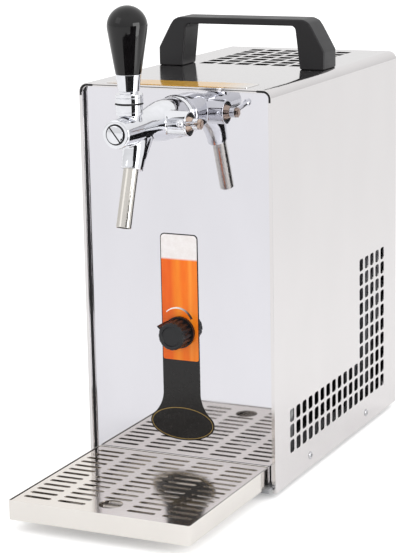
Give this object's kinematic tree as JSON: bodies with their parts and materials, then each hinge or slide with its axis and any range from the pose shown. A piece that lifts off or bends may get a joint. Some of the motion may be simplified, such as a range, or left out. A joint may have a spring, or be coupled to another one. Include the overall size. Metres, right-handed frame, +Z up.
{
  "type": "countertop beer dispenser",
  "caption": "Counter-top dry beer cooler with a folded steel casing, vent grilles, carrying handle, compensator tap, thermostat knob and slide-off drip tray.",
  "frame": {"origin": "centre of the footprint's bounding box, on the surface that the feet stand on", "axes": "+Z up, the tap and drip tray face -Y, +X to the right seen from the front"},
  "size_m": [0.1824, 0.4754, 0.4275],
  "materials": {
    "casing_steel": "fine-ground stainless steel sheet",
    "mirror_steel": "mirror-polished stainless steel sheet",
    "tray_steel": "polished stainless steel sheet",
    "base_steel": "galvanised steel sheet",
    "bright_steel": "bright steel",
    "spout_steel": "drawn stainless tube",
    "tap_chrome": "chrome plating",
    "brass": "machined brass",
    "copper": "copper",
    "aluminium": "plain aluminium",
    "black_paint": "black enamel",
    "black_plastic": "fine-grained black moulding",
    "black_gloss": "gloss black moulding",
    "grey_plastic": "grey moulding",
    "white_plastic": "white moulding",
    "clear_tube": "milky tubing",
    "black_rubber": "black rubber",
    "amber_film": "glossy amber film",
    "label_film": "printed film"
  },
  "bodies": {
    "cabinet": {"casing_cover": "casing_steel", "front_panel": "mirror_steel", "panel_seal": "black_rubber", "base_plate": "base_steel", "back_panel": "casing_steel", "rubber_feet": "black_rubber", "side_screws": "bright_steel", "back_screws": "bright_steel", "carry_handle": "black_plastic", "handle_screws": "bright_steel", "top_accent_strip": "amber_film", "front_label": "label_film", "thermostat_body": "white_plastic", "thermostat_nut": "bright_steel", "tap_rosette": "tap_chrome", "tap_shank": "bright_steel", "shank_back_nut": "brass", "tap_body": "tap_chrome", "spout_tube": "spout_steel", "valve_end_plug": "tap_chrome", "plug_o_ring": "black_rubber", "lever_collar_nut": "tap_chrome", "lever_dust_seal": "black_rubber", "lever_pivot_pin": "bright_steel", "compensator_gland": "brass", "refrigeration_compressor": "black_paint", "compressor_grommets": "black_rubber", "condenser": "aluminium", "fan_shroud": "black_plastic", "fan_motor": "black_paint", "fan_axle": "bright_steel", "block_shelf": "base_steel", "cooling_block": "aluminium", "air_compressor": "aluminium", "product_line": "clear_tube", "beer_supply_line": "clear_tube", "air_line": "clear_tube", "refrigerant_lines": "copper", "beer_inlet_fitting": "grey_plastic", "air_outlet_fitting": "grey_plastic", "fitting_nuts": "grey_plastic", "mains_inlet": "black_plastic", "switch_housing": "black_plastic"},
    "tap_handle": {"tap_lever": "bright_steel", "handle_cap_ring": "tap_chrome", "handle_ferrule": "tap_chrome", "tap_grip": "black_gloss"},
    "plunger": {"valve_plunger": "white_plastic"},
    "flow_lever": {"compensator_spindle": "brass", "compensator_lever": "tap_chrome", "compensator_lever_nut": "brass"},
    "control_knob": {"thermostat_knob": "black_plastic", "thermostat_spindle": "bright_steel"},
    "tray": {"drip_tray": "tray_steel"},
    "grate": {"drip_grate": "tray_steel"},
    "fan": {"fan_impeller": "black_plastic"},
    "rocker": {"switch_rocker": "black_gloss"}
  },
  "joints": [
    {"name": "handle_tilt", "type": "hinge", "parent": "cabinet", "child": "tap_handle", "pos_m": [0, -0.16125, 0.343], "axis": [1, 0, 0], "range_deg": [-12, 25]},
    {"name": "plunger_slide", "type": "slide", "parent": "cabinet", "child": "plunger", "axis": [0, 1, 0], "range_m": [-0.0038, 0.0078]},
    {"name": "flow_lever_turn", "type": "hinge", "parent": "cabinet", "child": "flow_lever", "pos_m": [0.0343, -0.11325, 0.327], "axis": [1, 0, 0], "range_deg": [-80, 80]},
    {"name": "thermostat_turn", "type": "hinge", "parent": "cabinet", "child": "control_knob", "pos_m": [0, -0.09625, 0.139], "axis": [0, -1, 0], "range_deg": [-207, 93]},
    {"name": "tray_slide", "type": "slide", "parent": "cabinet", "child": "tray", "axis": [0, -1, 0], "range_m": [0, 0.12]},
    {"name": "grate_lift", "type": "slide", "parent": "tray", "child": "grate", "axis": [0, 0, 1], "range_m": [0, 0.06]},
    {"name": "fan_spin", "type": "hinge", "parent": "cabinet", "child": "fan", "pos_m": [0, 0.15875, 0.0809], "axis": [0, 1, 0], "continuous": true},
    {"name": "switch_rock", "type": "hinge", "parent": "cabinet", "child": "rocker", "pos_m": [-0.052, 0.21925, 0.04], "axis": [1, 0, 0], "range_deg": [-18, 0]}
  ],
  "couplings": [
    {"joint": "plunger_slide", "follows": "handle_tilt", "m_per_rad": 0.0176}
  ]
}
